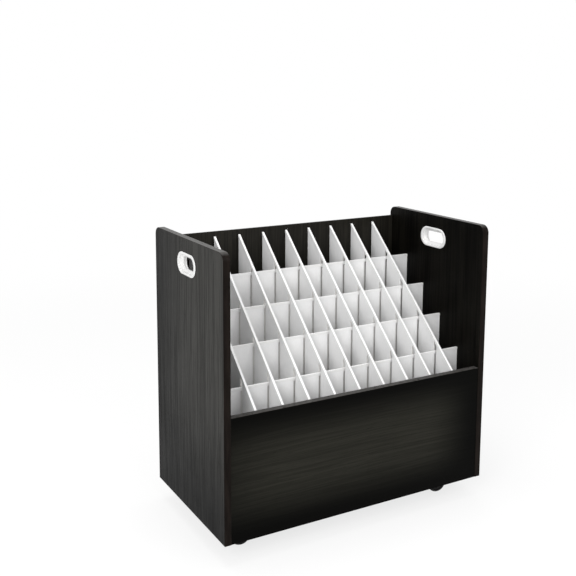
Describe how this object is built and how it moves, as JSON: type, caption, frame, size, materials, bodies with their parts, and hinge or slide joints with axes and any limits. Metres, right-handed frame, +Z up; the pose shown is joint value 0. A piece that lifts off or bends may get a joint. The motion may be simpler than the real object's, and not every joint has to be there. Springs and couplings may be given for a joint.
{
  "type": "roll file cabinet",
  "caption": "Open-topped mobile case with crossed divider boards that hold rolled drawings upright, on swivel casters, with a hand hold in each side.",
  "frame": {"origin": "on the floor, under the middle of the case", "axes": "+X to the right along the case's width, -Y towards the front, +Z up"},
  "size_m": [0.773, 0.4, 0.743],
  "materials": {
    "panel_laminate": "black woodgrain laminate on particle board, satin, with dark brown edge banding",
    "back_board": "thin black laminated board",
    "grommet_plastic": "white moulded plastic",
    "divider_board": "white-faced board",
    "edge_cap_plastic": "white extruded plastic channel",
    "zinc": "zinc plated",
    "plate_steel": "zinc plated",
    "axle_steel": "turned steel",
    "caster_nylon": "black moulded nylon",
    "wheel_nylon": "black moulded nylon, satin tread"
  },
  "bodies": {
    "case": {"left_side_panel": "panel_laminate", "right_side_panel": "panel_laminate", "front_panel": "panel_laminate", "base_panel": "panel_laminate", "back_panel": "back_board", "left_grommet_outer": "grommet_plastic", "right_grommet_outer": "grommet_plastic", "left_grommet_inner": "grommet_plastic", "right_grommet_inner": "grommet_plastic", "depth_divider_1": "divider_board", "depth_divider_cap_1": "edge_cap_plastic", "depth_divider_2": "divider_board", "depth_divider_cap_2": "edge_cap_plastic", "depth_divider_3": "divider_board", "depth_divider_cap_3": "edge_cap_plastic", "depth_divider_4": "divider_board", "depth_divider_cap_4": "edge_cap_plastic", "depth_divider_5": "divider_board", "depth_divider_cap_5": "edge_cap_plastic", "depth_divider_6": "divider_board", "depth_divider_cap_6": "edge_cap_plastic", "depth_divider_7": "divider_board", "depth_divider_cap_7": "edge_cap_plastic", "depth_divider_8": "divider_board", "depth_divider_cap_8": "edge_cap_plastic", "depth_divider_9": "divider_board", "depth_divider_cap_9": "edge_cap_plastic", "row_divider_1": "divider_board", "row_divider_cap_1": "edge_cap_plastic", "row_divider_2": "divider_board", "row_divider_cap_2": "edge_cap_plastic", "row_divider_3": "divider_board", "row_divider_cap_3": "edge_cap_plastic", "row_divider_4": "divider_board", "row_divider_cap_4": "edge_cap_plastic", "cam_locks": "zinc", "cam_bolts": "zinc", "caster_screws": "zinc", "front_left_caster_plate": "plate_steel", "front_right_caster_plate": "plate_steel", "rear_left_caster_plate": "plate_steel", "rear_right_caster_plate": "plate_steel"},
    "front_left_caster_swivel": {"front_left_caster_hood": "caster_nylon", "front_left_caster_axle": "axle_steel"},
    "front_left_caster_wheel_a": {"front_left_caster_wheel_a": "wheel_nylon"},
    "front_left_caster_wheel_b": {"front_left_caster_wheel_b": "wheel_nylon"},
    "front_left_caster_brake": {"front_left_caster_brake_lever": "caster_nylon"},
    "front_right_caster_swivel": {"front_right_caster_hood": "caster_nylon", "front_right_caster_axle": "axle_steel"},
    "front_right_caster_wheel_a": {"front_right_caster_wheel_a": "wheel_nylon"},
    "front_right_caster_wheel_b": {"front_right_caster_wheel_b": "wheel_nylon"},
    "front_right_caster_brake": {"front_right_caster_brake_lever": "caster_nylon"},
    "rear_left_caster_swivel": {"rear_left_caster_hood": "caster_nylon", "rear_left_caster_axle": "axle_steel"},
    "rear_left_caster_wheel_a": {"rear_left_caster_wheel_a": "wheel_nylon"},
    "rear_left_caster_wheel_b": {"rear_left_caster_wheel_b": "wheel_nylon"},
    "rear_right_caster_swivel": {"rear_right_caster_hood": "caster_nylon", "rear_right_caster_axle": "axle_steel"},
    "rear_right_caster_wheel_a": {"rear_right_caster_wheel_a": "wheel_nylon"},
    "rear_right_caster_wheel_b": {"rear_right_caster_wheel_b": "wheel_nylon"}
  },
  "joints": [
    {"name": "front_left_caster_swivel", "type": "hinge", "parent": "case", "child": "front_left_caster_swivel", "pos_m": [-0.282, -0.105, 0.043], "axis": [0, 0, 1], "continuous": true},
    {"name": "front_left_caster_spin_a", "type": "hinge", "parent": "front_left_caster_swivel", "child": "front_left_caster_wheel_a", "pos_m": [-0.29545, -0.08566, 0.025], "axis": [0.2588, 0.9659, 0], "continuous": true},
    {"name": "front_left_caster_spin_b", "type": "hinge", "parent": "front_left_caster_swivel", "child": "front_left_caster_wheel_b", "pos_m": [-0.30332, -0.11502, 0.025], "axis": [0.2588, 0.9659, 0], "continuous": true},
    {"name": "front_left_caster_brake", "type": "hinge", "parent": "front_left_caster_swivel", "child": "front_left_caster_brake", "pos_m": [-0.3177, -0.09543, 0.0476], "axis": [-0.2588, -0.9659, 0], "range_deg": [0, 22]},
    {"name": "front_right_caster_swivel", "type": "hinge", "parent": "case", "child": "front_right_caster_swivel", "pos_m": [0.282, -0.105, 0.043], "axis": [0, 0, 1], "continuous": true},
    {"name": "front_right_caster_spin_a", "type": "hinge", "parent": "front_right_caster_swivel", "child": "front_right_caster_wheel_a", "pos_m": [0.29545, -0.12434, 0.025], "axis": [-0.2588, -0.9659, 0], "continuous": true},
    {"name": "front_right_caster_spin_b", "type": "hinge", "parent": "front_right_caster_swivel", "child": "front_right_caster_wheel_b", "pos_m": [0.30332, -0.09498, 0.025], "axis": [-0.2588, -0.9659, 0], "continuous": true},
    {"name": "front_right_caster_brake", "type": "hinge", "parent": "front_right_caster_swivel", "child": "front_right_caster_brake", "pos_m": [0.3177, -0.11457, 0.0476], "axis": [0.2588, 0.9659, 0], "range_deg": [0, 22]},
    {"name": "rear_left_caster_swivel", "type": "hinge", "parent": "case", "child": "rear_left_caster_swivel", "pos_m": [-0.282, 0.105, 0.043], "axis": [0, 0, 1], "continuous": true},
    {"name": "rear_left_caster_spin_a", "type": "hinge", "parent": "rear_left_caster_swivel", "child": "rear_left_caster_wheel_a", "pos_m": [-0.29545, 0.12434, 0.025], "axis": [0.2588, 0.9659, 0], "continuous": true},
    {"name": "rear_left_caster_spin_b", "type": "hinge", "parent": "rear_left_caster_swivel", "child": "rear_left_caster_wheel_b", "pos_m": [-0.30332, 0.09498, 0.025], "axis": [0.2588, 0.9659, 0], "continuous": true},
    {"name": "rear_right_caster_swivel", "type": "hinge", "parent": "case", "child": "rear_right_caster_swivel", "pos_m": [0.282, 0.105, 0.043], "axis": [0, 0, 1], "continuous": true},
    {"name": "rear_right_caster_spin_a", "type": "hinge", "parent": "rear_right_caster_swivel", "child": "rear_right_caster_wheel_a", "pos_m": [0.29545, 0.08566, 0.025], "axis": [-0.2588, -0.9659, 0], "continuous": true},
    {"name": "rear_right_caster_spin_b", "type": "hinge", "parent": "rear_right_caster_swivel", "child": "rear_right_caster_wheel_b", "pos_m": [0.30332, 0.11502, 0.025], "axis": [-0.2588, -0.9659, 0], "continuous": true}
  ]
}
